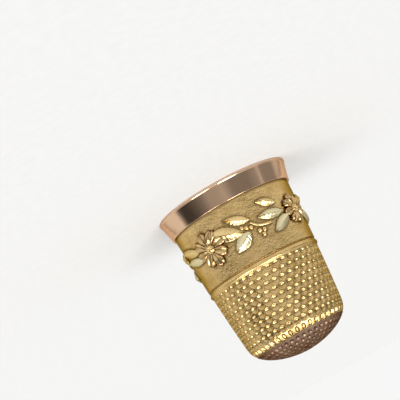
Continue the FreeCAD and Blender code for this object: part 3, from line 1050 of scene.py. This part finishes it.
class THIMBLE_OT_stems(bpy.types.Operator):
    """Model the curved stems"""

    bl_idname = "thimble.stems"
    bl_label = "Stems"

    def execute(self, context):
        for number, _, turn, path in round_the_garland(STEMS):
            nothing_selected()
            bpy.ops.curve.primitive_nurbs_path_add(enter_editmode=False)
            stem = bpy.context.object
            line = stem.data
            line.splines.clear()
            spline = line.splines.new("NURBS")
            spline.points.add(len(path) - 1)
            for n, (point, (angle, z)) in enumerate(zip(spline.points, path)):
                point.co = (*wall_point(angle + turn, z, STEM_OUT), 1)
                point.radius = 1 - STEM_TAPER * n / (len(path) - 1)
            spline.order_u = 3
            spline.use_endpoint_u = True
            line.resolution_u = 12
            line.bevel_depth = STEM_RADIUS * MM
            line.bevel_resolution = 3
            line.use_fill_caps = True
            bake_place(stem)
            bpy.ops.object.convert(target="MESH")
            stem = bpy.context.object
            shade_near_wall(stem, 0.0, 0.2)
            smooth(stem, 60)
            finish_piece(stem, "Stem_%d" % number, gold("Bright applied gold"),
                         "yellow_gold", "stem_%d" % number)
        return {"FINISHED"}


class THIMBLE_OT_berries(bpy.types.Operator):
    """Model the groups of berries"""

    bl_idname = "thimble.berries"
    bl_label = "Berries"

    def execute(self, context):
        nothing_selected()
        bpy.ops.mesh.primitive_uv_sphere_add(segments=16, ring_count=10, radius=BERRY_RADIUS * MM)
        master = bpy.context.object
        bpy.ops.object.mode_set(mode="EDIT")
        trim(master, -BERRY_CUT, clear_inner=True, use_fill=True)
        pick(master, lambda v: v.co.z > BERRY_FLAT_FROM * MM)
        bpy.ops.transform.translate(value=(0, 0, -BERRY_FLAT_DROP * MM))
        bpy.ops.object.mode_set(mode="OBJECT")
        apply_modifier(master, "Round", "SUBSURF", levels=1, render_levels=1)
        for number, _, turn, spots in round_the_garland(BERRIES):
            group = []
            for angle, z in spots:
                berry = own_copy(master, "Berry")
                seat_on_wall(berry, angle + turn, z, -BERRY_LIFT)
                group.append(berry)
            group = join(group)
            shade_near_wall(group, 0.02, 0.25)
            smooth(group, 50)
            finish_piece(group, "Berries_%d" % number, gold("Bright applied gold"),
                         "yellow_gold", "berries_%d" % number)
        remove(master)
        return {"FINISHED"}


class THIMBLE_OT_border_shade(bpy.types.Operator):
    """Paint shade on the border against the applied pieces and the rim band"""

    bl_idname = "thimble.grime"
    bl_label = "Grime round the garland"

    def execute(self, context):
        wall = bpy.data.objects["Wall"]
        garland = [obj.data for obj in bpy.data.objects
                   if obj.name.startswith(GARLAND_NAMES) and obj.type == "MESH"]
        tree = tree_of([v.co for mesh in garland for v in mesh.vertices
                        if radius_of(v) < wall_radius(v.co.z / MM) + TOUCHING])
        layer = wall.data.attributes["hollow"]
        rim_top = context.scene.thimble_sizes.rim_height / MM
        for v in wall.data.vertices:
            z = v.co.z / MM
            if rim_top - 0.01 < z < MATTING_HIGH and radius_of(v) > wall_radius(z) - 0.3:
                gap = min(tree.find(v.co)[2] / MM, z - rim_top)
                shade_amount = min(BORDER_SHADE_MOST, BORDER_SHADE_START - gap / BORDER_SHADE_FADE)
                layer.data[v.index].value = max(layer.data[v.index].value, shade_amount)
        return {"FINISHED"}


class THIMBLE_OT_stage(bpy.types.Operator):
    """Set out the floor, the lights and the camera"""

    bl_idname = "thimble.stage"
    bl_label = "Stage"

    def execute(self, context):
        studio = context.scene.thimble_studio
        nothing_selected()
        bpy.ops.mesh.primitive_circle_add(
            vertices=96, radius=FLOOR_RADIUS, fill_type="NGON", location=(0, 0, 0))
        floor = bpy.context.object
        floor.name = "Floor"
        floor.data.materials.append(pale_paper())
        context.scene.world = studio_room()
        for name, azimuth, height, strength, spread in SUNS:
            bpy.ops.object.light_add(type="SUN")
            lamp = bpy.context.object
            lamp.name = name
            lamp.data.energy = strength
            lamp.data.angle = math.radians(spread)
            lamp.rotation_euler = (math.radians(90 - height), 0, math.radians(azimuth))

        bpy.ops.object.camera_add(location=studio.camera_place)
        camera = bpy.context.object
        camera.name = "Camera"
        camera.rotation_euler = studio.camera_turn
        camera.data.lens = studio.camera_lens
        camera.data.sensor_width = 36
        camera.data.clip_start, camera.data.clip_end = 0.01, 5
        context.scene.camera = camera
        context.scene.view_settings.view_transform = "Standard"
        return {"FINISHED"}


class THIMBLE_PT_panel(bpy.types.Panel):
    """Buttons and settings for the thimble"""

    bl_label = "Gold thimble"
    bl_idname = "THIMBLE_PT_panel"
    bl_space_type = "VIEW_3D"
    bl_region_type = "UI"
    bl_category = "Thimble"

    def draw(self, context):
        for key, kind in SETTINGS:
            box = self.layout.box()
            for setting in kind.__annotations__:
                box.prop(getattr(context.scene, key), setting)
        for made in MAKERS:
            self.layout.operator(made.bl_idname)


MAKERS = (
    THIMBLE_OT_wall,
    THIMBLE_OT_end_cap,
    THIMBLE_OT_rim_band,
    THIMBLE_OT_flowers,
    THIMBLE_OT_flower_centres,
    THIMBLE_OT_leaves,
    THIMBLE_OT_stems,
    THIMBLE_OT_berries,
    THIMBLE_OT_border_shade,
    THIMBLE_OT_stage,
)
SETTINGS = (
    ("thimble_sizes", ThimbleSizes),
    ("thimble_colours", GoldColours),
    ("thimble_studio", StudioSettings),
)


def register():
    for key, group in SETTINGS:
        bpy.utils.register_class(group)
        setattr(bpy.types.Scene, key, PointerProperty(type=group))
    for made in (*MAKERS, THIMBLE_PT_panel):
        bpy.utils.register_class(made)


def unregister():
    for made in reversed((*MAKERS, THIMBLE_PT_panel)):
        bpy.utils.unregister_class(made)
    for key, group in reversed(SETTINGS):
        delattr(bpy.types.Scene, key)
        bpy.utils.unregister_class(group)


def main():
    register()
    for made in MAKERS:
        family, name = made.bl_idname.split(".")
        getattr(getattr(bpy.ops, family), name)()


if __name__ == "__main__":
    main()
